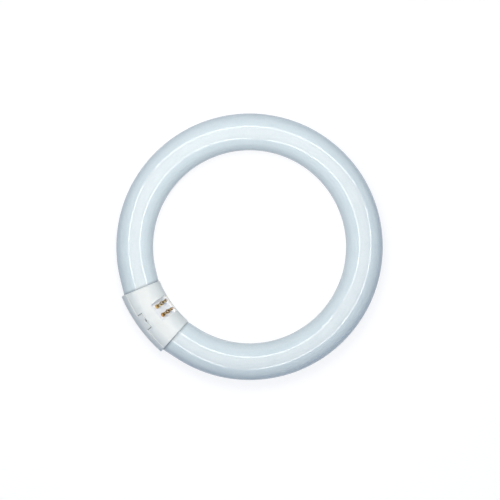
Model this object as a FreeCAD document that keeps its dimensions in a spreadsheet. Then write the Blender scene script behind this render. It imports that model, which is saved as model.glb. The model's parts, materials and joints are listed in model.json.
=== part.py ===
import FreeCAD, Part
import Sketcher
import math
import os

# A ring-shaped fluorescent lamp lying flat. +Z is the ring's axis, the ring's centre is at x = y = 0, and
# the cap that joins the tube's two ends is on the -Y side with its underside at z = 0. Its four pins point
# upwards and inwards, between +Z and +Y. All lengths are in millimetres.

SIZES = (
    ("tube_diameter", "29.2", "outside of the glass"),
    ("ring_radius", "91", "ring's axis to the middle of the tube"),
    ("straight_run", "11", "straight glass in front of each mouth of the cap"),
    ("glass_in_cap", "8", "straight glass inside each mouth"),
    ("shoulder_round", "5", "round of the sealed end's shoulder"),
    ("well_diameter", "12.4", "well in the sealed end, around the stem"),
    ("well_depth", "5", "depth of that well"),
    ("tip_diameter", "4.6", "sealed-off exhaust tip in the well"),
    ("tip_length", "7.5", "length of that tip"),
    ("tip_rounding", "0.9", "round of the tip's end, as a share of its radius"),
    ("cap_length", "46.6", "mouth to mouth across the ring, on the cap's middle line"),
    ("cap_step", "1.6", "cap's outside over the glass's outside"),
    ("cap_wall", "1.1", "wall of both shells"),
    ("cap_offset", "1.2", "cap's middle line outside the ring's, at mid length"),
    ("cap_ease", "14", "bend radius of the cap over that of the ring"),
    ("mouth_web", "2", "thickness of the web around the glass at each mouth"),
    ("mouth_round", "0.8", "round of the mouth's outer edge"),
    ("glass_room", "0.15", "gap between the glass and the webs"),
    ("seam_break", "0.35", "broken edge along the parting line"),
    ("tongue_width", "13.6", "tongue of the back shell, along the parting line"),
    ("tongue_height", "4.8", "that tongue's reach past the parting line"),
    ("tongue_room", "0.5", "gap around the tongue"),
    ("latch_width", "2", "latch slot at mid length of the tongue's edge"),
    ("latch_depth", "1.2", "depth of that slot"),
    ("pin_tilt", "45", "pins above the ring's plane, in degrees"),
    ("recess_width", "15.8", "pin recess, along the tube"),
    ("recess_height", "19", "pin recess, across the tube"),
    ("recess_depth", "5.4", "recess floor under the cap's outside"),
    ("recess_round", "1.5", "round of the recess corners"),
    ("floor_thickness", "1.3", "recess floor"),
    ("row_gap", "7.92", "between the pin rows, along the tube"),
    ("pair_gap", "6.35", "between the two pins of a row"),
    ("pin_diameter", "2.35", "contact barrel of a pin"),
    ("pin_length", "7.2", "recess floor to the pin's end"),
    ("pin_rounding", "0.8", "round of the pin's end, as a share of its radius"),
    ("barrel_start", "3", "recess floor to the barrel"),
    ("collar_diameter", "3.5", "collar on the floor and rivet head below it"),
    ("collar_height", "1", "thickness of the collar"),
    ("collar_rounding", "0.6", "round of the collar's edge, as a share of its thickness"),
    ("waist_diameter", "1.6", "crimped waist between the collar and the barrel"),
    ("waist_end", "2.3", "recess floor to the end of the waist"),
    ("rivet_height", "0.5", "thickness of the rivet head"),
    ("hole_room", "0.05", "gap around a pin in its hole"),
    ("bore_diameter", "0.9", "bore of a pin"),
    ("end_thickness", "1", "solder that closes the pin's end"),
    ("lead_diameter", "0.6", "lead wire"),
    ("lead_spread", "8.4", "between the two leads of a tube end"),
    ("lead_run", "6", "straight lead out of the stem"),
    ("lead_level", "3", "height of the lead's bend over the cap's middle line"),
    ("lead_bend", "1.6", "bend radius of a lead"),
)

doc = FreeCAD.newDocument("circular_tube")
sheet = doc.addObject("Spreadsheet::Sheet", "Sizes")
for row, (alias, number, meaning) in enumerate(SIZES, 1):
    sheet.set("A%d" % row, number)
    sheet.setAlias("A%d" % row, alias)
    sheet.set("B%d" % row, meaning)
doc.recompute()

# Sizes that follow from the sheet, as expressions.
GLASS_R = "Sizes.tube_diameter / 2"
CAP_R = "(Sizes.tube_diameter / 2 + Sizes.cap_step)"
HOLLOW_R = f"({CAP_R} - Sizes.cap_wall)"
CAP_MIDDLE = "(Sizes.ring_radius + Sizes.cap_offset)"
CAP_BEND = "(Sizes.ring_radius + Sizes.cap_ease)"
FLOOR = f"({CAP_R} - Sizes.recess_depth)"
PIN_LEAN = "90 - Sizes.pin_tilt"

# Half of the ring's opening: the angle from -Y to where the arc ends and the straight run to the mouth
# starts.
OPENING = (
    "(asin(Sizes.cap_length / 2 / sqrt(Sizes.ring_radius ^ 2 + Sizes.straight_run ^ 2))"
    " + atan(Sizes.straight_run / Sizes.ring_radius))"
)
GLASS_END = "(Sizes.straight_run + Sizes.glass_in_cap)"

# Turns about the cap's bend axis, each measured from mid length.
MOUTH_TURN = f"asin(Sizes.cap_length / 2 / {CAP_BEND})"
WEB_TURN = f"asin((Sizes.cap_length / 2 - Sizes.mouth_web) / {CAP_BEND})"
BLOCK_TURN = f"atan((Sizes.recess_width / 2 + Sizes.cap_wall) / ({CAP_BEND} - {CAP_R}))"
TONGUE_TURN = f"asin(Sizes.tongue_width / 2 / ({CAP_BEND} + {CAP_R}))"
NOTCH_TURN = f"asin((Sizes.tongue_width / 2 + Sizes.tongue_room) / ({CAP_BEND} + {CAP_R}))"
LATCH_TURN = f"asin(Sizes.latch_width / 2 / ({CAP_BEND} + {CAP_R}))"

X_BACK = FreeCAD.Vector(-1, 0, 0)
Z_UP = FreeCAD.Vector(0, 0, 1)
Z_DOWN = FreeCAD.Vector(0, 0, -1)


def value(expression):
    """A size worked out from the sheet, as a plain number."""
    found = sheet.evalExpression(expression)
    return float(getattr(found, "Value", found))


def new_body(name):
    """An empty sub-part whose label names its file."""
    body = doc.addObject("PartDesign::Body", name)
    body.Label = name
    return body


def place(thing, prop, axis, angle, x="0", y="0", z="0"):
    """Tie a placement to the sheet: a turn about an axis and a shift."""
    shift = FreeCAD.Vector(value(x), value(y), value(z))
    setattr(thing, prop, FreeCAD.Placement(shift, FreeCAD.Rotation(axis, value(angle))))
    thing.setExpression(prop + ".Rotation.Angle", angle)
    for letter, expression in (("x", x), ("y", y), ("z", z)):
        thing.setExpression(f"{prop}.Base.{letter}", expression)


def origin(body, role):
    """One of the body's own planes or axes."""
    return next(f for f in body.Origin.OriginFeatures if f.Role == role)


def new_sketch(body, name, role):
    """An empty sketch on one of the body's own planes."""
    sketch = body.newObject("Sketcher::SketchObject", name)
    sketch.AttachmentSupport = [(origin(body, role), "")]
    sketch.MapMode = "FlatFace"
    return sketch


def section_sketch(body, name, flip="0"):
    """A sketch across the cap at mid length: its middle on the cap's, its y the way the pins point."""
    sketch = new_sketch(body, name, "YZ_Plane")
    place(sketch, "AttachmentOffset", Z_DOWN, f"{PIN_LEAN} + {flip}", x=f"-{CAP_BEND}")
    return sketch


def floor_sketch(body, name):
    """A sketch on the recess floor, seen from the pins' ends."""
    sketch = new_sketch(body, name, "XY_Plane")
    inwards = f"{FLOOR} * cos(Sizes.pin_tilt) - {CAP_BEND}"
    place(sketch, "AttachmentOffset", X_BACK, PIN_LEAN, y=inwards, z=f"{FLOOR} * sin(Sizes.pin_tilt)")
    return sketch


def glass_end_sketch(body, name, centre="0"):
    """A sketch in the ring's plane with x along the straight glass, from the arc's end towards the cap.

    centre is how far the body's own origin is from the ring's axis, along y.
    """
    sketch = new_sketch(body, name, "XY_Plane")
    across = f"Sizes.ring_radius * sin({OPENING})"
    along = f"-Sizes.ring_radius * cos({OPENING}) - {centre}"
    place(sketch, "AttachmentOffset", Z_UP, f"180 deg + {OPENING}", x=across, y=along)
    return sketch


def tie(sketch, *parts):
    """Add a constraint. A dimension's last part is its expression, and is tied to the sheet."""
    if not isinstance(parts[-1], str):
        return sketch.addConstraint(Sketcher.Constraint(*parts))
    number = sketch.addConstraint(Sketcher.Constraint(*parts[:-1], value(parts[-1])))
    label = "size_%d" % number
    sketch.renameConstraint(number, label)
    sketch.setExpression("Constraints." + label, parts[-1])
    return number


def pin_down(sketch, line, end, letter, expression):
    """Fix the x or the y of a line's end."""
    if expression == "0":
        tie(sketch, "PointOnObject", line, end, -2 if letter == "X" else -1)
    else:
        tie(sketch, "Distance" + letter, -1, 1, line, end, expression)


def outline(sketch, *corners):
    """Draw a closed outline. A corner is its x, its y and, where it is rounded, its radius, as expressions.

    Its lines are level or upright, and a sloping line lies between two upright ones.
    """
    count = len(corners)
    spots = [FreeCAD.Vector(value(c[0]), value(c[1]), 0) for c in corners]
    lines = []
    for i, spot in enumerate(spots):
        ahead = spots[(i + 1) % count]
        way = (ahead - spot).normalize()
        start = spot + way * value(corners[i][2]) if len(corners[i]) > 2 else spot
        after = corners[(i + 1) % count]
        stop = ahead - way * value(after[2]) if len(after) > 2 else ahead
        lines.append(sketch.addGeometry(Part.LineSegment(start, stop)))
    for i, line in enumerate(lines):
        here, after = corners[i], corners[(i + 1) % count]
        if here[0] == after[0]:
            tie(sketch, "Vertical", line)
            pin_down(sketch, line, 1, "X", here[0])
        elif here[1] == after[1]:
            tie(sketch, "Horizontal", line)
            pin_down(sketch, line, 1, "Y", here[1])
        else:
            pin_down(sketch, line, 1, "Y", here[1])
            pin_down(sketch, line, 2, "Y", after[1])
    for i, corner in enumerate(corners):
        before, after = lines[i - 1], lines[i]
        if len(corner) == 2:
            tie(sketch, "Coincident", before, 2, after, 1)
            continue
        come = (spots[i] - spots[i - 1]).normalize()
        leave = (spots[(i + 1) % count] - spots[i]).normalize()
        radius = value(corner[2])
        middle = spots[i] + (leave - come) * radius
        left_turn = come.cross(leave).z > 0
        first, last = (-leave, come) if left_turn else (come, -leave)
        turn = [math.atan2(v.y, v.x) for v in (first, last)]
        arc = Part.ArcOfCircle(Part.Circle(middle, Z_UP, radius), *turn)
        bend = sketch.addGeometry(arc)
        tie(sketch, "Tangent", before, 2, bend, 1 if left_turn else 2)
        tie(sketch, "Tangent", bend, 2 if left_turn else 1, after, 1)
        tie(sketch, "Radius", bend, corner[2])


def circle(sketch, radius, x="0", y="0"):
    """Draw a circle."""
    spot = FreeCAD.Vector(value(x), value(y), 0)
    ring = sketch.addGeometry(Part.Circle(spot, Z_UP, value(radius)))
    pin_down(sketch, ring, 3, "X", x)
    pin_down(sketch, ring, 3, "Y", y)
    tie(sketch, "Radius", ring, radius)


def round_top(sketch, radius, level, break_width="0"):
    """Draw the part of a disc that lies above a level, with the two corners there broken off if asked."""
    r, low, cut = value(radius), value(level), value(break_width)
    rise = math.asin((low + cut) / r)
    arc = Part.ArcOfCircle(Part.Circle(FreeCAD.Vector(), Z_UP, r), rise, math.pi - rise)
    top = sketch.addGeometry(arc)
    reach = math.sqrt(r * r - low * low) - cut
    left, right = FreeCAD.Vector(-reach, low, 0), FreeCAD.Vector(reach, low, 0)
    base = sketch.addGeometry(Part.LineSegment(left, right))
    tie(sketch, "Coincident", top, 3, -1, 1)
    tie(sketch, "Radius", top, radius)
    tie(sketch, "Horizontal", base)
    pin_down(sketch, base, 1, "Y", level)
    if break_width == "0":
        tie(sketch, "Coincident", base, 2, top, 1)
        tie(sketch, "Coincident", base, 1, top, 2)
        return
    ends = arc.StartPoint, arc.EndPoint
    rights = sketch.addGeometry(Part.LineSegment(right, ends[0]))
    lefts = sketch.addGeometry(Part.LineSegment(ends[1], left))
    tie(sketch, "Coincident", base, 2, rights, 1)
    tie(sketch, "Coincident", rights, 2, top, 1)
    tie(sketch, "Coincident", top, 2, lefts, 1)
    tie(sketch, "Coincident", lefts, 2, base, 1)
    tie(sketch, "DistanceX", -1, 1, base, 2, f"{radius} - {break_width}")
    tie(sketch, "DistanceX", base, 1, -1, 1, f"{radius} - {break_width}")
    pin_down(sketch, top, 1, "Y", break_width)
    pin_down(sketch, top, 2, "Y", break_width)


def turned(body, kind, sketch, axis, angle=None):
    """Revolve a sketch, to add or to cut: evenly about its own plane by an angle, or all the way round."""
    feature = body.newObject("PartDesign::" + kind, sketch.Name + "_turned")
    feature.Profile = sketch
    feature.ReferenceAxis = axis
    if angle is None:
        feature.Angle = 360
    else:
        feature.Midplane = True
        feature.setExpression("Angle", angle)
    return feature


def mirrored(body, feature):
    """Repeat a feature on the cap's or the ring's other half."""
    copy = body.newObject("PartDesign::Mirrored", feature.Name + "_mirrored")
    copy.Originals = [feature]
    copy.MirrorPlane = (origin(body, "YZ_Plane"), [""])
    body.Tip = copy
    return copy


def rounded(body, feature, radius, wanted):
    """Round the edges of a feature that a test picks out."""
    doc.recompute()
    names = ["Edge%d" % (i + 1) for i, edge in enumerate(feature.Shape.Edges) if wanted(edge)]
    fillet = body.newObject("PartDesign::Fillet", feature.Name + "_rounded")
    fillet.Base = (feature, names)
    fillet.setExpression("Radius", radius)
    return fillet


def glass_tube():
    """The bent tube: an arc and two straight ends, each sealed with a shoulder, a stem well and a tip."""
    body = new_body("glass_tube")
    place(body, "Placement", Z_UP, "0", z=CAP_R)
    bore = new_sketch(body, "tube_section", "YZ_Plane")
    circle(bore, GLASS_R, x="Sizes.ring_radius")
    turned(body, "Revolution", bore, (bore, ["V_Axis"]), f"360 deg - 2 * {OPENING}")
    end = glass_end_sketch(body, "tube_end")
    well_floor = f"{GLASS_END} - Sizes.well_depth"
    tip_end = f"{GLASS_END} - Sizes.well_depth + Sizes.tip_length"
    well, tip = "Sizes.well_diameter / 2", "Sizes.tip_diameter / 2"
    outline(
        end,
        ("0", "0"),
        (tip_end, "0"),
        (tip_end, tip, f"{tip} * Sizes.tip_rounding"),
        (well_floor, tip),
        (well_floor, well),
        (GLASS_END, well),
        (GLASS_END, GLASS_R, "Sizes.shoulder_round"),
        ("0", GLASS_R),
    )
    mirrored(body, turned(body, "Revolution", end, (end, ["H_Axis"])))
    return body, end


def half_cap(name, flip):
    """One half of the cap: a bent half-round shell with a web around the glass at each mouth."""
    body = new_body(name)
    bend_centre = f"({CAP_BEND} - {CAP_MIDDLE})"
    place(body, "Placement", Z_UP, "0", y=bend_centre, z=CAP_R)
    axis = (origin(body, "Z_Axis"), [""])
    outside = section_sketch(body, name + "_outside", flip)
    round_top(outside, CAP_R, "0", "Sizes.seam_break")
    whole = turned(body, "Revolution", outside, axis, f"2 * {MOUTH_TURN}")

    def mouth_edge(edge):
        curve = edge.Curve
        if not isinstance(curve, Part.Circle):
            return False
        return math.isclose(curve.Radius, value(CAP_R)) and round(curve.Axis.z) == 0

    rounded(body, whole, "Sizes.mouth_round", mouth_edge)
    hollow = section_sketch(body, name + "_hollow", flip)
    circle(hollow, HOLLOW_R)
    turned(body, "Groove", hollow, axis, f"2 * {WEB_TURN}")
    return body, axis, bend_centre


def glass_seats(body, bend_centre):
    """Cut the two straight holes that the tube's ends lie in."""
    seat = glass_end_sketch(body, body.Name + "_seat", bend_centre)
    seat_r = f"({GLASS_R} + Sizes.glass_room)"
    first, last = "Sizes.straight_run / 2", f"{GLASS_END} + Sizes.glass_room"
    outline(seat, (first, "0"), (last, "0"), (last, seat_r), (first, seat_r))
    mirrored(body, turned(body, "Groove", seat, (seat, ["H_Axis"])))


def edge_strips(sketch, low, top):
    """Draw a strip across the cap's wall at both of its long edges, from one level to another."""
    for side in ("", "-"):
        near = f"{side}({HOLLOW_R} - ({top}))"
        far = f"{side}({CAP_R} + Sizes.cap_wall)"
        outline(sketch, (near, low), (far, low), (far, top), (near, top))


def cap_front_shell():
    """The half with the pins: a boxed recess, a hole for each pin, and a notch for each tongue."""
    body, axis, bend_centre = half_cap("cap_front_shell", "0")
    block = section_sketch(body, "recess_block")
    round_top(block, f"({CAP_R} - Sizes.cap_wall / 2)", f"{FLOOR} - Sizes.floor_thickness")
    turned(body, "Revolution", block, axis, f"2 * {BLOCK_TURN}")
    glass_seats(body, bend_centre)

    recess = floor_sketch(body, "recess")
    wide, high = "Sizes.recess_width / 2", "Sizes.recess_height / 2"
    corner = "Sizes.recess_round"
    outline(
        recess,
        (f"-{wide}", f"-{high}", corner),
        (wide, f"-{high}", corner),
        (wide, high, corner),
        (f"-{wide}", high, corner),
    )
    hollow = body.newObject("PartDesign::Pocket", "recess_cut")
    hollow.Profile = recess
    hollow.Reversed = True
    hollow.setExpression("Length", CAP_R)

    holes = floor_sketch(body, "pin_holes")
    for across in ("-Sizes.row_gap / 2", "Sizes.row_gap / 2"):
        for up in ("-Sizes.pair_gap / 2", "Sizes.pair_gap / 2"):
            circle(holes, "Sizes.pin_diameter / 2 + Sizes.hole_room", across, up)
    drilled = body.newObject("PartDesign::Pocket", "pin_holes_cut")
    drilled.Profile = holes
    drilled.Type = "ThroughAll"

    notch = section_sketch(body, "tongue_notch")
    edge_strips(notch, "-Sizes.cap_wall", "Sizes.tongue_height + Sizes.tongue_room")
    turned(body, "Groove", notch, axis, f"2 * {NOTCH_TURN}")
    return body


def tongue(body, axis, side):
    """A tongue: a strip of the wall that stands past the parting line."""
    sketch = section_sketch(body, "tongue_%s" % ("outer" if side < 0 else "inner"))
    outer, inner = value(CAP_R), value(HOLLOW_R)
    low, top = -value("Sizes.cap_wall"), value("Sizes.tongue_height")
    corners = []
    for r, y in ((outer, low), (outer, top), (inner, top), (inner, low)):
        corners.append(FreeCAD.Vector(math.sqrt(r * r - y * y) * side, y, 0))
    arcs = []
    for r, ends in ((outer, corners[:2]), (inner, corners[3:1:-1])):
        turn = sorted(math.atan2(p.y, p.x * side) for p in ends)
        if side < 0:
            turn = [math.pi - turn[1], math.pi - turn[0]]
        arcs.append(sketch.addGeometry(Part.ArcOfCircle(Part.Circle(FreeCAD.Vector(), Z_UP, r), *turn)))
    upper = sketch.addGeometry(Part.LineSegment(corners[1], corners[2]))
    lower = sketch.addGeometry(Part.LineSegment(corners[3], corners[0]))
    high_end, low_end = (2, 1) if side > 0 else (1, 2)
    tie(sketch, "Coincident", arcs[0], 3, -1, 1)
    tie(sketch, "Coincident", arcs[1], 3, -1, 1)
    tie(sketch, "Radius", arcs[0], CAP_R)
    tie(sketch, "Radius", arcs[1], HOLLOW_R)
    tie(sketch, "Coincident", arcs[0], high_end, upper, 1)
    tie(sketch, "Coincident", upper, 2, arcs[1], high_end)
    tie(sketch, "Coincident", arcs[1], low_end, lower, 1)
    tie(sketch, "Coincident", lower, 2, arcs[0], low_end)
    tie(sketch, "Horizontal", upper)
    tie(sketch, "Horizontal", lower)
    pin_down(sketch, upper, 1, "Y", "Sizes.tongue_height")
    pin_down(sketch, lower, 1, "Y", "-Sizes.cap_wall")
    turned(body, "Revolution", sketch, axis, f"2 * {TONGUE_TURN}")


def cap_back_shell():
    """The plain half, with a slotted tongue at mid length of each long edge for the front half's notch."""
    body, axis, bend_centre = half_cap("cap_back_shell", "180")
    for side in (-1, 1):
        tongue(body, axis, side)
    slot = section_sketch(body, "latch_slot")
    edge_strips(slot, "Sizes.tongue_height - Sizes.latch_depth", "Sizes.tongue_height + Sizes.cap_wall")
    turned(body, "Groove", slot, axis, f"2 * {LATCH_TURN}")
    glass_seats(body, bend_centre)
    return body


def contact_pin(number, across, up):
    """A hollow pin riveted through the recess floor, crimped to a waist and soldered shut at its end."""
    body = new_body("contact_pin_%d" % number)
    inwards = f"{FLOOR} * cos(Sizes.pin_tilt) - ({up}) * sin(Sizes.pin_tilt) - {CAP_MIDDLE}"
    upwards = f"{FLOOR} * sin(Sizes.pin_tilt) + ({up}) * cos(Sizes.pin_tilt) + {CAP_R}"
    place(body, "Placement", X_BACK, PIN_LEAN, x=across, y=inwards, z=upwards)
    profile = new_sketch(body, "pin_%d_profile" % number, "XZ_Plane")
    bore, barrel = "Sizes.bore_diameter / 2", "Sizes.pin_diameter / 2"
    collar, waist = "Sizes.collar_diameter / 2", "Sizes.waist_diameter / 2"
    under, head = "-Sizes.floor_thickness", "-(Sizes.floor_thickness + Sizes.rivet_height)"
    end, inner_end = "Sizes.pin_length", "Sizes.pin_length - Sizes.end_thickness"
    outline(
        profile,
        (bore, head),
        (collar, head),
        (collar, under),
        (barrel, under),
        (barrel, "0"),
        (collar, "0"),
        (collar, "Sizes.collar_height", "Sizes.collar_height * Sizes.collar_rounding"),
        (waist, "Sizes.collar_height"),
        (waist, "Sizes.waist_end"),
        (barrel, "Sizes.barrel_start"),
        (barrel, end, f"{barrel} * Sizes.pin_rounding"),
        ("0", end),
        ("0", inner_end),
        (bore, inner_end),
    )
    turned(body, "Revolution", profile, (profile, ["V_Axis"]))
    return body


def rounded_path(points, radius):
    """Straight runs from point to point, joined by tangent arcs."""
    edges = []
    start = points[0]
    for before, corner, after in zip(points, points[1:], points[2:]):
        back = (before - corner).normalize()
        ahead = (after - corner).normalize()
        half = back.getAngle(ahead) / 2
        bend_in = corner + back * (radius / math.tan(half))
        bend_out = corner + ahead * (radius / math.tan(half))
        crown = corner + (back + ahead).normalize() * (radius / math.sin(half) - radius)
        edges.append(Part.LineSegment(start, bend_in).toShape())
        edges.append(Part.Arc(bend_in, crown, bend_out).toShape())
        start = bend_out
    edges.append(Part.LineSegment(start, points[-1]).toShape())
    return Part.Wire(edges)


def lead_wire(number, pin, stem, up):
    """A bare wire from the stem of the nearer tube end, through the cap and up the bore of its pin."""
    side = 1 if pin.Placement.Base.x > 0 else -1
    tilt = math.radians(sheet.pin_tilt)
    spread = sheet.lead_spread / 2 * up
    floor = value(f"{GLASS_END} - Sizes.well_depth")
    points = []
    for run in (floor, floor + sheet.lead_run):
        spot = stem.multVec(FreeCAD.Vector(run, spread * math.sin(tilt), spread * math.cos(tilt)))
        points.append(FreeCAD.Vector(spot.x * side, spot.y, spot.z))
    points.append(pin.Placement.multVec(Z_UP * (sheet.lead_level - value(FLOOR))))
    points.append(pin.Placement.multVec(Z_UP * (sheet.pin_length - sheet.end_thickness)))
    root = points[0]
    path = rounded_path([point - root for point in points], sheet.lead_bend)
    section = Part.makeCircle(sheet.lead_diameter / 2, FreeCAD.Vector(), points[1] - root)
    wire = doc.addObject("Part::Feature", "lead_wire_%d" % number)
    wire.Label = "lead_wire_%d" % number
    wire.Shape = path.makePipeShell([Part.Wire([section])], True, True)
    wire.Placement = FreeCAD.Placement(root, FreeCAD.Rotation())
    return wire


tube, tube_end = glass_tube()
pieces = [tube, cap_front_shell(), cap_back_shell()]
pins = []
for across in ("-Sizes.row_gap / 2", "Sizes.row_gap / 2"):
    for up in ("Sizes.pair_gap / 2", "-Sizes.pair_gap / 2"):
        pins.append(contact_pin(len(pins) + 1, across, up))
doc.recompute()
stem = tube.Placement.multiply(tube_end.Placement)
wires = [lead_wire(i, pin, stem, 1 if i % 2 else -1) for i, pin in enumerate(pins, 1)]
doc.recompute()

for thing in doc.Objects:
    if "Invalid" in thing.State or "Error" in thing.State:
        raise RuntimeError("%s failed: %s" % (thing.Label, thing.State))
os.makedirs("parts", exist_ok=True)
for piece in pieces + pins + wires:
    if piece.Shape.isNull() or not piece.Shape.isValid() or len(piece.Shape.Solids) != 1:
        raise RuntimeError("%s is not one valid solid" % piece.Label)
for piece in pieces + pins + wires:
    piece.Shape.exportStep("parts/%s.step" % piece.Label)
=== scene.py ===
import json
import math

import bpy
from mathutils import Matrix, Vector


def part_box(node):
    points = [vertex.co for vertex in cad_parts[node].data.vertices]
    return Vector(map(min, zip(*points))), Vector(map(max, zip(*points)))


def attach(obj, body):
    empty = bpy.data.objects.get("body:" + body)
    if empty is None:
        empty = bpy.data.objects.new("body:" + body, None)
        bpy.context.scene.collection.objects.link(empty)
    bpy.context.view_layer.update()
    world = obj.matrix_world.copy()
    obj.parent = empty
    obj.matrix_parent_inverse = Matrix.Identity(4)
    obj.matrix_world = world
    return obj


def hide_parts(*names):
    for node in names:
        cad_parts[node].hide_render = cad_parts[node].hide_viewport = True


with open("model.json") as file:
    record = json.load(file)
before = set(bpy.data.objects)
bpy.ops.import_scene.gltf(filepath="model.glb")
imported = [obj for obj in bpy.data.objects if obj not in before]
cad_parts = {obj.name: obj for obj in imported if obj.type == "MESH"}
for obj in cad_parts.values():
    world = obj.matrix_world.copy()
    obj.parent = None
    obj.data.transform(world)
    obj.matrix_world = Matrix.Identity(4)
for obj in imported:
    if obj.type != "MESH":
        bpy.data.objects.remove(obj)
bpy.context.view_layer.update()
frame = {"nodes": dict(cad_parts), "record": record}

bl_info = {
    "name": "Ring lamp",
    "version": (1, 0, 0),
    "blender": (4, 5, 0),
    "location": "3D View > Sidebar > Ring lamp",
    "description": "Dresses a ring-shaped fluorescent lamp and sets it on a studio floor",
    "category": "Object",
}

NODES = frame["nodes"]
MM = 0.001


def linear(hex_colour):
    """An sRGB hex colour as linear red, green and blue."""
    parts = [int(hex_colour[i:i + 2], 16) / 255 for i in (1, 3, 5)]
    return [p / 12.92 if p <= 0.04045 else ((p + 0.055) / 1.055) ** 2.4 for p in parts]


def add(tree, kind, links=None, **settings):
    """Add a node. Settings name its properties or sockets, and links join its sockets to others' outputs."""
    node = tree.nodes.new("ShaderNode" + kind)
    for name, value in settings.items():
        if hasattr(node, name):
            setattr(node, name, value)
        else:
            node.inputs[name.replace("_", " ")].default_value = value
    for name, output in (links or {}).items():
        tree.links.new(output, node.inputs[name])
    return node


def new_material(name):
    """An empty material with its output node."""
    material = bpy.data.materials.new(name)
    material.use_nodes = True
    tree = material.node_tree
    tree.nodes.clear()
    return material, tree, add(tree, "OutputMaterial")


def rgba(colour):
    """A colour property with full opacity."""
    return (*colour, 1.0)


def per_mm(size):
    """The scale of a pattern on coordinates in metres whose features are so many millimetres wide."""
    return 1 / (size * MM)


class LampSizes(bpy.types.PropertyGroup):
    """Sizes of the glass and the cap that the frame's boxes don't give."""

    straight_run: bpy.props.FloatProperty(
        name="Straight run", description="Straight glass in front of each mouth of the cap",
        default=11 * MM, subtype="DISTANCE", unit="LENGTH")
    glass_in_cap: bpy.props.FloatProperty(
        name="Glass in cap", description="Straight glass inside each mouth of the cap",
        default=8 * MM, subtype="DISTANCE", unit="LENGTH")
    cap_length: bpy.props.FloatProperty(
        name="Cap length", description="Mouth to mouth on the cap's middle line",
        default=46.6 * MM, subtype="DISTANCE", unit="LENGTH")
    cap_bend: bpy.props.FloatProperty(
        name="Cap bend", description="Bend radius of the cap's middle line",
        default=105 * MM, subtype="DISTANCE", unit="LENGTH")
    shoulder_round: bpy.props.FloatProperty(
        name="Shoulder round", description="Round of the sealed end's shoulder",
        default=5 * MM, subtype="DISTANCE", unit="LENGTH")
    well_diameter: bpy.props.FloatProperty(
        name="Well diameter", description="Well in the sealed end, around the stem",
        default=12.4 * MM, subtype="DISTANCE", unit="LENGTH")
    well_depth: bpy.props.FloatProperty(
        name="Well depth", description="Depth of the well", default=5 * MM, subtype="DISTANCE", unit="LENGTH")
    tip_diameter: bpy.props.FloatProperty(
        name="Tip diameter", description="Sealed-off exhaust tip in the well",
        default=4.6 * MM, subtype="DISTANCE", unit="LENGTH")
    tip_length: bpy.props.FloatProperty(
        name="Tip length", description="Length of the exhaust tip",
        default=7.5 * MM, subtype="DISTANCE", unit="LENGTH")


class LampColours(bpy.types.PropertyGroup):
    """Colours of the lamp's finishes."""

    powder: bpy.props.FloatVectorProperty(
        name="Powder", description="White powder inside the glass, as it shows through it",
        default=linear("#E1E7E2"), subtype="COLOR", min=0, max=1)
    powder_thin: bpy.props.FloatVectorProperty(
        name="Thin powder", description="The powder where its coat is thinner",
        default=linear("#DBE2DE"), subtype="COLOR", min=0, max=1)
    # Painted shade: a dark grey laid on the glass in front of the cap's mouths, for the shadow of the cap's
    # edge.
    mouth_shade: bpy.props.FloatVectorProperty(
        name="Dust", description="Dust caught in the gap between the glass and the cap",
        default=linear("#5C666C"), subtype="COLOR", min=0, max=1)
    plastic: bpy.props.FloatVectorProperty(
        name="Plastic", description="Moulded white plastic of the cap",
        default=linear("#EEEDE3"), subtype="COLOR", min=0, max=1)
    # Painted light: the recess is painted whiter than the outside, so that its shade lifts.
    recess_painted_light: bpy.props.FloatVectorProperty(
        name="Fresh plastic", description="The plastic in the recess, where light hasn't yellowed it",
        default=linear("#F8F8F6"), subtype="COLOR", min=0, max=1)
    plastic_flow: bpy.props.FloatVectorProperty(
        name="Plastic flow", description="The plastic where it cooled a shade duller",
        default=linear("#E9E8DE"), subtype="COLOR", min=0, max=1)
    brass: bpy.props.FloatVectorProperty(
        name="Brass", description="Clean brass of the pins' barrels",
        default=linear("#EDD9A2"), subtype="COLOR", min=0, max=1)
    brass_collar: bpy.props.FloatVectorProperty(
        name="Collar brass", description="Brass of the riveted collars, a shade darker than the barrels",
        default=linear("#CDB681"), subtype="COLOR", min=0, max=1)
    brass_red: bpy.props.FloatVectorProperty(
        name="Reddening", description="What soldering heat has left of the brass's colour on one row",
        default=linear("#EAD8CA"), subtype="COLOR", min=0, max=1)
    # Painted shade with flux: the dark brown laid in the crimp and at the end's rim.
    brass_shade_and_flux: bpy.props.FloatVectorProperty(
        name="Dull brass", description="Brass browned by flux in the crimp and at the end",
        default=linear("#4A3A1E"), subtype="COLOR", min=0, max=1)
    # Solder, painted pale so that it also stands for the end's highlight.
    solder_and_highlight: bpy.props.FloatVectorProperty(
        name="Solder", description="Solder that closes a pin's end",
        default=linear("#D8CFC6"), subtype="COLOR", min=0, max=1)
    nickel: bpy.props.FloatVectorProperty(
        name="Nickel", description="Plated lead wires",
        default=linear("#B9B6AF"), subtype="COLOR", min=0, max=1)
    nickel_dull: bpy.props.FloatVectorProperty(
        name="Dull nickel", description="The plating where the die has thinned it",
        default=linear("#96928A"), subtype="COLOR", min=0, max=1)


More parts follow.
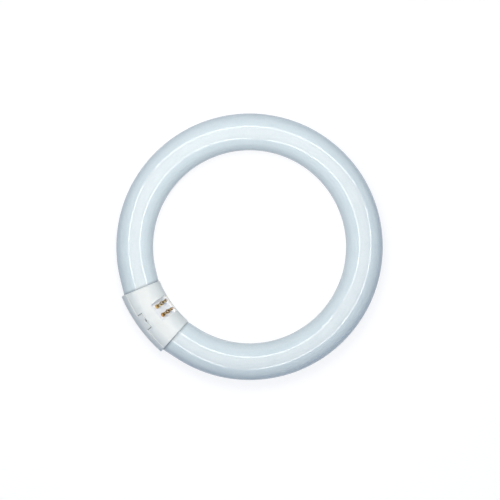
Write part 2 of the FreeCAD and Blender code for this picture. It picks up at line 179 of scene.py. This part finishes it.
class StageLook(bpy.types.PropertyGroup):
    """Camera, floor and light."""

    camera_height: bpy.props.FloatProperty(
        name="Camera height", description="Camera over the middle of the tube",
        default=1.5, subtype="DISTANCE", unit="LENGTH")
    view_width: bpy.props.FloatProperty(
        name="View width", description="Width of the picture at the middle of the tube",
        default=396.2 * MM, subtype="DISTANCE", unit="LENGTH")
    turn: bpy.props.FloatProperty(
        name="Turn", description="Direction of the picture's right side in the lamp's plane",
        default=math.radians(54.5), subtype="ANGLE", unit="ROTATION")
    right_of_ring: bpy.props.FloatProperty(
        name="Right of ring", description="Camera to the picture's right of the ring's axis",
        default=0.35 * MM, subtype="DISTANCE", unit="LENGTH")
    below_ring: bpy.props.FloatProperty(
        name="Below ring", description="Camera to the picture's bottom from the ring's axis",
        default=2.55 * MM, subtype="DISTANCE", unit="LENGTH")
    floor_lift: bpy.props.FloatProperty(
        name="Floor lift",
        description="White that the eye sees over the floor's own shade, which thins the shadow",
        default=0.83, min=0, max=1, subtype="FACTOR")
    floor_paint: bpy.props.FloatVectorProperty(
        name="Floor paint", description="Matt paint of the floor",
        default=linear("#848587"), subtype="COLOR", min=0, max=1)
    floor_shade: bpy.props.FloatVectorProperty(
        name="Floor shade", description="The paint where it is a shade darker",
        default=linear("#828385"), subtype="COLOR", min=0, max=1)
    white_rise: bpy.props.FloatProperty(
        name="White rise", description="The eye sees white all round, up to this rise over the floor",
        default=0.3, min=0, max=1, subtype="FACTOR")
    tube_turn: bpy.props.FloatProperty(
        name="Tube turn", description="Direction of the first tube light, clockwise from the picture's right",
        default=math.radians(35), subtype="ANGLE", unit="ROTATION")
    tube_slant: bpy.props.FloatProperty(
        name="Tube slant", description="Angle from overhead to the middle of each ceiling tube light",
        default=math.radians(31.5), subtype="ANGLE", unit="ROTATION")
    tube_width: bpy.props.FloatProperty(
        name="Tube width", description="Width of the ceiling tube lights as a share of their height",
        default=0.12, min=0, subtype="FACTOR")
    tube_gap: bpy.props.FloatProperty(
        name="Tube gap", description="Gap between the ends of two tube lights as a share of their height",
        default=0.16, min=0, subtype="FACTOR")
    tube_light: bpy.props.FloatProperty(
        name="Tube light", description="Light that the ceiling tube lights give", default=3.9, min=0)
    tube_shine: bpy.props.FloatProperty(
        name="Tube shine", description="Brightness of the ceiling tube lights in reflections",
        default=9.5, min=0)
    ceiling_light: bpy.props.FloatProperty(
        name="Ceiling light", description="Light that the ceiling between the tube lights gives",
        default=0.3, min=0)
    ceiling_shine: bpy.props.FloatVectorProperty(
        name="Ceiling shine", description="Brightness of the ceiling between the tube lights in reflections",
        default=(1.9, 1.4, 1.2), subtype="COLOR", min=0)
    walls: bpy.props.FloatVectorProperty(
        name="Walls", description="Light from the walls all round",
        default=linear("#4B7CAD"), subtype="COLOR", min=0, max=1)
    key_power: bpy.props.FloatProperty(
        name="Key power", description="Soft lamp close over the ring", default=1.19, min=0, unit="POWER")
    key_colour: bpy.props.FloatVectorProperty(
        name="Key colour", description="A shade warmer than the walls' light",
        default=linear("#FFFDFA"), subtype="COLOR", min=0, max=1)
    key_distance: bpy.props.FloatProperty(
        name="Key distance", description="Key lamp from the middle of the ring", default=0.46,
        subtype="DISTANCE", unit="LENGTH")
    key_size: bpy.props.FloatProperty(
        name="Key size", description="Side of the key lamp", default=0.18, subtype="DISTANCE", unit="LENGTH")
    key_slant: bpy.props.FloatProperty(
        name="Key slant", description="Angle from overhead to the key lamp",
        default=math.radians(15), subtype="ANGLE", unit="ROTATION")
    key_turn: bpy.props.FloatProperty(
        name="Key turn", description="Key lamp's direction, clockwise from the picture's right",
        default=math.radians(250), subtype="ANGLE", unit="ROTATION")


def finish(thing, material):
    """Give a piece or node its material in every slot."""
    if not thing.material_slots:
        thing.data.materials.append(material)
    for slot in thing.material_slots:
        slot.material = material


def cap_middle(sizes):
    """The middle of the cap's bend, and the cap's outside radius."""
    glass_low, glass_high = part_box("glass_tube")
    cap_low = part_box("cap_back_shell")[0]
    level = (glass_low.z + glass_high.z) / 2
    radius = level - cap_low.z
    return Vector((0, cap_low.y + radius + sizes.cap_bend, level)), radius


def coated_glass(colours, sizes):
    """Clear glass tube coated inside with white powder.

    The powder scatters nearly all light, and the drawn glass over it is smooth, so a soft white body shows
    under sharp thin reflections. The glass is painted grey where it goes into the cap's mouths, as painted
    shade.
    """
    material, tree, output = new_material("coated_glass")
    place = add(tree, "TexCoord").outputs["Object"]
    # The coat runs down the tube as it dries, in clouds about 14 mm wide, and has a grain near 0.1 mm that
    # is drawn 1.2 mm wide to show at all.
    clouds = add(tree, "TexNoise", {"Vector": place}, Scale=per_mm(14), Detail=2.0)
    grain = add(tree, "TexNoise", {"Vector": place}, Scale=per_mm(1.2), Detail=1.0)
    both = add(tree, "Math", {0: clouds.outputs["Fac"], 1: grain.outputs["Fac"]}, operation="ADD")
    mean = add(tree, "Math", {0: both.outputs[0]}, operation="MULTIPLY")
    mean.inputs[1].default_value = 0.5
    ramp = add(tree, "ValToRGB", {"Fac": mean.outputs[0]})
    ramp.color_ramp.elements[0].position = 0.35
    ramp.color_ramp.elements[0].color = rgba(colours.powder_thin)
    ramp.color_ramp.elements[1].position = 0.65
    ramp.color_ramp.elements[1].color = rgba(colours.powder)
    # The two mouths are alike, so one side is folded onto the other. Each mouth is cut square to the cap's
    # bend, so its plane goes through the bend's axis.
    split = add(tree, "SeparateXYZ", {"Vector": place})
    side = add(tree, "Math", {0: split.outputs["X"]}, operation="ABSOLUTE")
    folded = add(
        tree, "CombineXYZ", {"X": side.outputs[0], "Y": split.outputs["Y"], "Z": split.outputs["Z"]})
    turn = math.asin(sizes.cap_length / 2 / sizes.cap_bend)
    inwards = Vector((-math.cos(turn), -math.sin(turn), 0))
    edge = inwards.dot(cap_middle(sizes)[0])
    along = add(tree, "VectorMath", {0: folded.outputs[0]}, operation="DOT_PRODUCT")
    along.inputs[1].default_value = inwards
    # The painted shade starts 3.6 mm in front of the mouth and deepens with the cube of the way. The cube of
    # 0.87 is two thirds, the most that it covers.
    shade_start, shade_end, shade_most, shade_power = 3.6 * MM, 0.2 * MM, 0.87, 3
    near = add(
        tree, "MapRange", {"Value": along.outputs["Value"]},
        From_Min=edge - shade_start, From_Max=edge - shade_end, To_Max=shade_most)
    shaded = add(tree, "Math", {0: near.outputs["Result"]}, operation="POWER")
    shaded.inputs[1].default_value = shade_power
    # Mix in the painted shade, darkest at each mouth.
    skin = add(
        tree, "MixRGB", {"Fac": shaded.outputs[0], "Color1": ramp.outputs["Color"]},
        Color2=rgba(colours.mouth_shade))
    # Bent by hand, the glass swells and sinks by about 0.05 mm every 25 mm, so its reflections wander.
    swell = add(tree, "TexNoise", {"Vector": place}, Scale=per_mm(25), Detail=1.0)
    waves = add(tree, "Bump", {"Height": swell.outputs["Fac"]}, Distance=0.15 * MM)
    shader = add(
        tree, "BsdfPrincipled", {"Base Color": skin.outputs["Color"], "Coat Normal": waves.outputs["Normal"]},
        Roughness=0.7, Specular_IOR_Level=0.1, Coat_Weight=0.75, Coat_Roughness=0.015, Coat_IOR=1.52)
    tree.links.new(shader.outputs["BSDF"], output.inputs["Surface"])
    return material


def white_plastic(colours, sizes):
    """Moulded white polyester with a fine spark-eroded skin, which gives a soft even sheen.

    The recess for the pins, and whatever lies deeper than 0.25 mm under the outside, is painted whiter than
    the outside, as painted light that lifts its shade.
    """
    material, tree, output = new_material("moulded_white_plastic")
    place = add(tree, "TexCoord").outputs["Object"]
    # The melt's flow shows as clouds about 9 mm wide.
    flow = add(tree, "TexNoise", {"Vector": place}, Scale=per_mm(9), Detail=2.0)
    ramp = add(tree, "ValToRGB", {"Fac": flow.outputs["Fac"]})
    ramp.color_ramp.elements[0].position = 0.3
    ramp.color_ramp.elements[0].color = rgba(colours.plastic_flow)
    ramp.color_ramp.elements[1].position = 0.7
    ramp.color_ramp.elements[1].color = rgba(colours.plastic)
    # How far a point is from the cap's bent middle line tells the outside from the recess.
    middle, radius = cap_middle(sizes)
    ray = add(tree, "VectorMath", {0: place}, operation="SUBTRACT")
    ray.inputs[1].default_value = middle
    split = add(tree, "SeparateXYZ", {"Vector": ray.outputs["Vector"]})
    flat = add(tree, "CombineXYZ", {"X": split.outputs["X"], "Y": split.outputs["Y"]})
    out = add(tree, "VectorMath", {0: flat.outputs[0]}, operation="LENGTH")
    aside = add(tree, "Math", {0: out.outputs["Value"]}, operation="SUBTRACT")
    aside.inputs[1].default_value = sizes.cap_bend
    section = add(tree, "CombineXYZ", {"X": aside.outputs[0], "Y": split.outputs["Z"]})
    away = add(tree, "VectorMath", {0: section.outputs[0]}, operation="LENGTH")
    # The painted light comes in between 0.25 and 0.8 mm under the outside.
    shallow, deep = 0.25 * MM, 0.8 * MM
    painted_light_mask = add(
        tree, "MapRange", {"Value": away.outputs["Value"]},
        From_Min=radius - deep, From_Max=radius - shallow, To_Min=1.0, To_Max=0.0)
    # Mix in the painted light, whitest in the recess.
    skin = add(
        tree, "MixRGB", {"Fac": painted_light_mask.outputs["Result"], "Color1": ramp.outputs["Color"]},
        Color2=rgba(colours.recess_painted_light))
    # The skin's grit is about 0.05 mm and is drawn 0.5 mm wide to show at all.
    grit = add(tree, "TexNoise", {"Vector": place}, Scale=per_mm(0.5), Detail=3.0)
    gloss = add(tree, "MapRange", {"Value": grit.outputs["Fac"]}, To_Min=0.34, To_Max=0.46)
    bump = add(tree, "Bump", {"Height": grit.outputs["Fac"]}, Strength=0.08, Distance=0.02 * MM)
    shader = add(
        tree, "BsdfPrincipled",
        {"Base Color": skin.outputs["Color"], "Roughness": gloss.outputs["Result"],
         "Normal": bump.outputs["Normal"]},
        IOR=1.5)
    tree.links.new(shader.outputs["BSDF"], output.inputs["Surface"])
    return material


def pin_brass(colours):
    """Drawn brass, riveted, crimped and soldered.

    The barrel is bright and the collar a shade darker. The crimp between them and the rim of the end are
    painted dark brown, as painted shade with flux, and pale solder closes the end, painted bright as its
    highlight too.
    The heat has reddened one row of pins more than the other.
    """
    material, tree, output = new_material("drawn_brass")
    place = add(tree, "TexCoord").outputs["Object"]
    pin = next(m for m in frame["record"]["mounts"] if m["name"] == "contact_pin_1")
    axis = Vector(pin["axis"])
    along = add(tree, "VectorMath", {0: place}, operation="DOT_PRODUCT")
    along.inputs[1].default_value = axis
    # The dark zones, painted shade with flux, creep unevenly by half a millimetre, in tongues about 1 mm
    # wide.
    creep = add(tree, "TexNoise", {"Vector": place}, Scale=per_mm(1), Detail=3.0)
    uneven = add(tree, "MapRange", {"Value": creep.outputs["Fac"]}, To_Min=-0.5 * MM, To_Max=0.5 * MM)
    reach = add(tree, "Math", {0: along.outputs["Value"], 1: uneven.outputs["Result"]}, operation="ADD")
    # Each zone's start and end, in millimetres along the pin from the middle of its barrel.
    # The dark zones are painted shade with flux, and the pale end is solder painted as a highlight.
    zones = (
        (-4.6, -3.0, colours.brass_collar), (-2.4, -1.0, colours.brass_shade_and_flux), (-0.5, 1.4, colours.brass),
        (1.8, 2.3, colours.brass_shade_and_flux), (2.4, 2.6, colours.solder_and_highlight))
    first, last = zones[0][0], zones[-1][1]
    middle = axis.dot(Vector(pin["pos_m"]))
    share = add(
        tree, "MapRange", {"Value": reach.outputs[0]},
        From_Min=middle + first * MM, From_Max=middle + last * MM)
    ramp = add(tree, "ValToRGB", {"Fac": share.outputs["Result"]})
    stops = [(end, colour) for start, stop, colour in zones for end in (start, stop)]
    while len(ramp.color_ramp.elements) < len(stops):
        ramp.color_ramp.elements.new(1)
    for element, (end, colour) in zip(ramp.color_ramp.elements, stops):
        element.position = (end - first) / (last - first)
        element.color = rgba(colour)
    # One row is on each side of the cap's middle, and the heat changes over the 6 mm between them.
    change = 3 * MM
    row = add(tree, "SeparateXYZ", {"Vector": place})
    heat = add(tree, "MapRange", {"Value": row.outputs["X"]}, From_Min=-change, From_Max=change)
    both = add(
        tree, "MixRGB", {"Fac": heat.outputs["Result"], "Color1": ramp.outputs["Color"]},
        blend_type="MULTIPLY", Color2=rgba(colours.brass_red))
    gloss = add(tree, "MapRange", {"Value": creep.outputs["Fac"]}, To_Min=0.5, To_Max=0.25)
    shader = add(
        tree, "BsdfPrincipled", {"Base Color": both.outputs["Color"], "Roughness": gloss.outputs["Result"]},
        Metallic=1.0)
    tree.links.new(shader.outputs["BSDF"], output.inputs["Surface"])
    return material


def plated_wire(colours):
    """Nickel-plated wire, drawn through a die: dull grey with a finer and a duller patch here and there."""
    material, tree, output = new_material("plated_wire")
    place = add(tree, "TexCoord").outputs["Object"]
    # The patches are about 2 mm long.
    patches = add(tree, "TexNoise", {"Vector": place}, Scale=per_mm(2), Detail=3.0)
    ramp = add(tree, "ValToRGB", {"Fac": patches.outputs["Fac"]})
    ramp.color_ramp.elements[0].position = 0.35
    ramp.color_ramp.elements[0].color = rgba(colours.nickel)
    ramp.color_ramp.elements[1].position = 0.65
    ramp.color_ramp.elements[1].color = rgba(colours.nickel_dull)
    gloss = add(tree, "MapRange", {"Value": patches.outputs["Fac"]}, To_Min=0.25, To_Max=0.5)
    shader = add(
        tree, "BsdfPrincipled", {"Base Color": ramp.outputs["Color"], "Roughness": gloss.outputs["Result"]},
        Metallic=1.0)
    tree.links.new(shader.outputs["BSDF"], output.inputs["Surface"])
    return material


class LAMP_OT_glass_tube(bpy.types.Operator):
    """Model the bent glass tube with its two sealed ends"""

    bl_idname = "lamp.glass_tube"
    bl_label = "Glass tube"

    def execute(self, context):
        sizes = context.scene.lamp_sizes
        low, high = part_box("glass_tube")
        radius = (high.z - low.z) / 2
        ring = high.x - radius
        level = (low.z + high.z) / 2
        around, steps, rounds, tip_rounds = 72, 120, 8, 4
        bend = math.asin(sizes.cap_length / 2 / math.hypot(ring, sizes.straight_run))
        bend += math.atan(sizes.straight_run / ring)

        bpy.ops.object.select_all(action="DESELECT")
        bpy.ops.mesh.primitive_circle_add(
            vertices=around, radius=radius, location=(0, ring, level), rotation=(math.pi / 2, 0, math.pi / 2))
        tube = context.object
        tube.name = tube.data.name = "glass_envelope"
        bpy.ops.object.transform_apply()
        bpy.ops.object.mode_set(mode="EDIT")
        bpy.ops.mesh.select_all(action="SELECT")
        bpy.ops.mesh.spin(steps=steps, angle=math.pi - bend, center=(0, 0, 0), axis=(0, 0, 1))

        # The spin leaves the arc's last ring of vertices selected. From there the straight glass leads to the
        # sealed end, whose profile is how far along and how wide.
        spot = Vector((ring * math.sin(bend), -ring * math.cos(bend), level))
        ahead = Vector((-math.cos(bend), -math.sin(bend), 0))
        end = sizes.straight_run + sizes.glass_in_cap
        shoulder = sizes.shoulder_round
        profile = [((end - shoulder) * i / rounds, radius) for i in range(1, rounds + 1)]
        for i in range(1, rounds + 1):
            turn = math.radians(90) * i / rounds
            reach = end - shoulder + shoulder * math.sin(turn)
            profile.append((reach, radius - shoulder * (1 - math.cos(turn))))
        well, tip = sizes.well_diameter / 2, sizes.tip_diameter / 2
        tip_round = tip * 0.9
        floor = end - sizes.well_depth
        top = floor + sizes.tip_length
        profile += [(end, well), (floor, well), (floor, tip), (top - tip_round, tip)]
        for i in range(1, tip_rounds + 1):
            turn = math.radians(90) * i / tip_rounds
            reach = top - tip_round * (1 - math.sin(turn))
            profile.append((reach, tip - tip_round * (1 - math.cos(turn))))
        along, wide = 0.0, radius
        for reach, width in profile:
            bpy.ops.mesh.extrude_edges_move(TRANSFORM_OT_translate={"value": ahead * (reach - along)})
            share = width / wide
            if share != 1:
                bpy.ops.transform.resize(value=(share, share, share), center_override=spot + ahead * reach)
            along, wide = reach, width
        bpy.ops.mesh.edge_face_add()
        bpy.ops.mesh.select_all(action="SELECT")
        bpy.ops.mesh.remove_doubles(threshold=0.001 * MM)
        bpy.ops.mesh.normals_make_consistent(inside=False)
        bpy.ops.object.mode_set(mode="OBJECT")
        mirror = tube.modifiers.new("Other half", "MIRROR")
        mirror.use_axis = (True, False, False)
        mirror.merge_threshold = 0.01 * MM
        bpy.ops.object.modifier_apply(modifier=mirror.name)
        bpy.ops.object.shade_smooth_by_angle(angle=math.radians(35))
        finish(tube, coated_glass(context.scene.lamp_colours, sizes))
        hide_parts("glass_tube")
        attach(tube, "root")
        return {"FINISHED"}


class LAMP_OT_cap_shells(bpy.types.Operator):
    """Finish the two shells of the cap"""

    bl_idname = "lamp.cap_shells"
    bl_label = "Cap shells"

    def execute(self, context):
        material = white_plastic(context.scene.lamp_colours, context.scene.lamp_sizes)
        for name in ("cap_front_shell", "cap_back_shell"):
            finish(NODES[name], material)
        return {"FINISHED"}


class LAMP_OT_contact_pins(bpy.types.Operator):
    """Finish the contact pins"""

    bl_idname = "lamp.contact_pins"
    bl_label = "Contact pins"

    def execute(self, context):
        material = pin_brass(context.scene.lamp_colours)
        for number in range(1, 5):
            finish(NODES["contact_pin_%d" % number], material)
        return {"FINISHED"}


class LAMP_OT_lead_wires(bpy.types.Operator):
    """Finish the lead wires inside the cap"""

    bl_idname = "lamp.lead_wires"
    bl_label = "Lead wires"

    def execute(self, context):
        material = plated_wire(context.scene.lamp_colours)
        for number in range(1, 5):
            finish(NODES["lead_wire_%d" % number], material)
        return {"FINISHED"}


class LAMP_OT_stage(bpy.types.Operator):
    """Set up the floor, the light and the camera"""

    bl_idname = "lamp.stage"
    bl_label = "Stage"

    def execute(self, context):
        look = context.scene.lamp_stage
        low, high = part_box("glass_tube")
        level = (low.z + high.z) / 2
        right = Vector((math.cos(look.turn), math.sin(look.turn), 0))
        up = Vector((-math.sin(look.turn), math.cos(look.turn), 0))
        # The floor's side and how far the camera sees, in metres, so that no view shows the floor's edge.
        floor_side, farthest = 60, 100
        bpy.ops.object.select_all(action="DESELECT")

        spot = right * look.right_of_ring - up * look.below_ring + Vector((0, 0, level + look.camera_height))
        bpy.ops.object.camera_add(location=spot, rotation=(0, 0, look.turn))
        camera = context.object
        camera.name = "camera"
        camera.data.lens = camera.data.sensor_width * look.camera_height / look.view_width
        camera.data.clip_end = farthest
        context.scene.camera = camera

        bpy.ops.mesh.primitive_plane_add(size=floor_side)
        floor = context.object
        floor.name = "floor"
        finish(floor, self.painted_floor(look))

        # A soft lamp that gives the form its shade. Only the ceiling lights show in the glass.
        side = right * math.cos(look.key_turn) - up * math.sin(look.key_turn)
        away = side * math.sin(look.key_slant) + Vector((0, 0, math.cos(look.key_slant)))
        key = Vector((0, 0, level)) + away * look.key_distance
        bpy.ops.object.light_add(type="AREA", location=key, rotation=away.to_track_quat("Z", "Y").to_euler())
        lamp = context.object
        lamp.name = "key"
        lamp.data.size = look.key_size
        lamp.data.energy = look.key_power
        lamp.data.color = look.key_colour
        lamp.visible_glossy = False

        context.scene.world = self.studio(look)
        context.scene.view_settings.view_transform = "Standard"
        return {"FINISHED"}

    def studio(self, look):
        """A room whose ceiling has three tube lights in a triangle.

        They draw two bright lines along the glass, and the ceiling between them a paler band.
        """
        world = bpy.data.worlds.new("studio")
        world.use_nodes = True
        tree = world.node_tree
        tree.nodes.clear()
        way = add(tree, "TexCoord").outputs["Generated"]
        rise = add(tree, "SeparateXYZ", {"Vector": way}).outputs["Z"]
        # How far the way leans towards each tube light, as a share of its rise: the most and the least of it.
        most = least = None
        for third in range(3):
            turn = look.turn - look.tube_turn - third * math.radians(120)
            lean = add(tree, "VectorMath", {0: way}, operation="DOT_PRODUCT")
            lean.inputs[1].default_value = (math.cos(turn), math.sin(turn), 0)
            slope = add(tree, "Math", {0: lean.outputs["Value"], 1: rise}, operation="DIVIDE")
            if most is None:
                most = least = slope
            else:
                most = add(tree, "Math", {0: most.outputs[0], 1: slope.outputs[0]}, operation="MAXIMUM")
                least = add(tree, "Math", {0: least.outputs[0], 1: slope.outputs[0]}, operation="MINIMUM")
        middle = math.tan(look.tube_slant)
        inner, outer = middle - look.tube_width / 2, middle + look.tube_width / 2
        tubes = self.bands(tree, most, (0, (0, 0, 0)), (inner, (1, 1, 1)), (outer, (0, 0, 0)))
        # The three leans add up to nothing, so twice the most plus the least is how far it leads the next.
        lead = add(tree, "Math", {0: most.outputs[0], 2: least.outputs[0]}, operation="MULTIPLY_ADD")
        lead.inputs[1].default_value = 2
        whole = add(tree, "Math", {0: lead.outputs[0]}, operation="GREATER_THAN")
        whole.inputs[1].default_value = look.tube_gap
        mirrored = add(tree, "LightPath").outputs["Is Glossy Ray"]
        shine = add(tree, "MapRange", {"Value": mirrored}, To_Min=look.tube_light, To_Max=look.tube_shine)
        glow = add(tree, "Math", {0: whole.outputs[0], 1: shine.outputs["Result"]}, operation="MULTIPLY")
        lights = add(tree, "Background", {"Color": tubes, "Strength": glow.outputs[0]})
        sheen = add(
            tree, "MixRGB", {"Fac": mirrored},
            Color1=rgba([look.ceiling_light] * 3), Color2=rgba(look.ceiling_shine))
        inside = add(tree, "Math", {0: most.outputs[0]}, operation="LESS_THAN")
        inside.inputs[1].default_value = outer
        ceiling = add(tree, "Background", {"Color": sheen.outputs["Color"], "Strength": inside.outputs[0]})
        beyond = self.bands(tree, most, (0, (0, 0, 0)), (outer, look.walls))
        walls = add(tree, "Background", {"Color": beyond})
        shell = add(tree, "AddShader", {0: ceiling.outputs[0], 1: walls.outputs[0]})
        room = add(tree, "AddShader", {0: lights.outputs[0], 1: shell.outputs[0]})
        white = add(tree, "Background", Color=(1, 1, 1, 1), Strength=1.0)
        low = add(tree, "Math", {0: rise}, operation="LESS_THAN")
        low.inputs[1].default_value = look.white_rise
        share = add(tree, "Math", {0: self.seen(tree), 1: low.outputs[0]}, operation="MULTIPLY")
        mix = add(tree, "MixShader", {0: share.outputs[0], 1: room.outputs[0], 2: white.outputs[0]})
        add(tree, "OutputWorld", {"Surface": mix.outputs[0]})
        return world

    def bands(self, tree, value, *steps):
        """A colour that changes in steps, each from a value on."""
        ramp = add(tree, "ValToRGB", {"Fac": value.outputs[0]})
        ramp.color_ramp.interpolation = "CONSTANT"
        while len(ramp.color_ramp.elements) < len(steps):
            ramp.color_ramp.elements.new(1)
        for element, (start, colour) in zip(ramp.color_ramp.elements, steps):
            element.position = start
            element.color = rgba(colour)
        return ramp.outputs["Color"]

    def seen(self, tree):
        """One for what the eye sees, straight, mirrored or through glass, and nought for other light."""
        path = add(tree, "LightPath").outputs
        gloss = add(tree, "Math", {0: path["Is Camera Ray"], 1: path["Is Glossy Ray"]}, operation="MAXIMUM")
        eye = add(tree, "Math", {0: gloss.outputs[0], 1: path["Is Transmission Ray"]}, operation="MAXIMUM")
        return eye.outputs[0]

    def painted_floor(self, look):
        """Matt pale floor that the eye sees lifted to white, so that the shadow on it stays thin."""
        material, tree, output = new_material("studio_floor")
        place = add(tree, "TexCoord").outputs["Object"]
        # The paint is mottled in patches about 40 mm wide.
        mottle = add(tree, "TexNoise", {"Vector": place}, Scale=per_mm(40))
        ramp = add(tree, "ValToRGB", {"Fac": mottle.outputs["Fac"]})
        ramp.color_ramp.elements[0].color = rgba(look.floor_shade)
        ramp.color_ramp.elements[1].color = rgba(look.floor_paint)
        matt = add(tree, "BsdfDiffuse", {"Color": ramp.outputs["Color"]})
        lift = add(tree, "Math", {0: self.seen(tree)}, operation="MULTIPLY")
        lift.inputs[1].default_value = look.floor_lift
        white = add(tree, "Emission", {"Strength": lift.outputs[0]})
        both = add(tree, "AddShader", {0: matt.outputs[0], 1: white.outputs[0]})
        tree.links.new(both.outputs[0], output.inputs["Surface"])
        return material


class LAMP_PT_panel(bpy.types.Panel):
    """The lamp's sizes, colours and steps"""

    bl_idname = "LAMP_PT_panel"
    bl_label = "Ring lamp"
    bl_space_type = "VIEW_3D"
    bl_region_type = "UI"
    bl_category = "Ring lamp"

    def draw(self, context):
        column = self.layout.column()
        for group in (context.scene.lamp_sizes, context.scene.lamp_colours, context.scene.lamp_stage):
            for name in group.__annotations__:
                column.prop(group, name)
        for step in STEPS:
            column.operator(step.bl_idname)


STEPS = (LAMP_OT_glass_tube, LAMP_OT_cap_shells, LAMP_OT_contact_pins, LAMP_OT_lead_wires, LAMP_OT_stage)
GROUPS = {"lamp_sizes": LampSizes, "lamp_colours": LampColours, "lamp_stage": StageLook}


def register():
    for group in (*GROUPS.values(), *STEPS, LAMP_PT_panel):
        bpy.utils.register_class(group)
    for name, group in GROUPS.items():
        setattr(bpy.types.Scene, name, bpy.props.PointerProperty(type=group))


def unregister():
    for name in GROUPS:
        delattr(bpy.types.Scene, name)
    for group in (LAMP_PT_panel, *STEPS, *GROUPS.values()):
        bpy.utils.unregister_class(group)


def main():
    register()
    bpy.ops.lamp.glass_tube()
    bpy.ops.lamp.cap_shells()
    bpy.ops.lamp.contact_pins()
    bpy.ops.lamp.lead_wires()
    bpy.ops.lamp.stage()


if __name__ == "__main__":
    main()
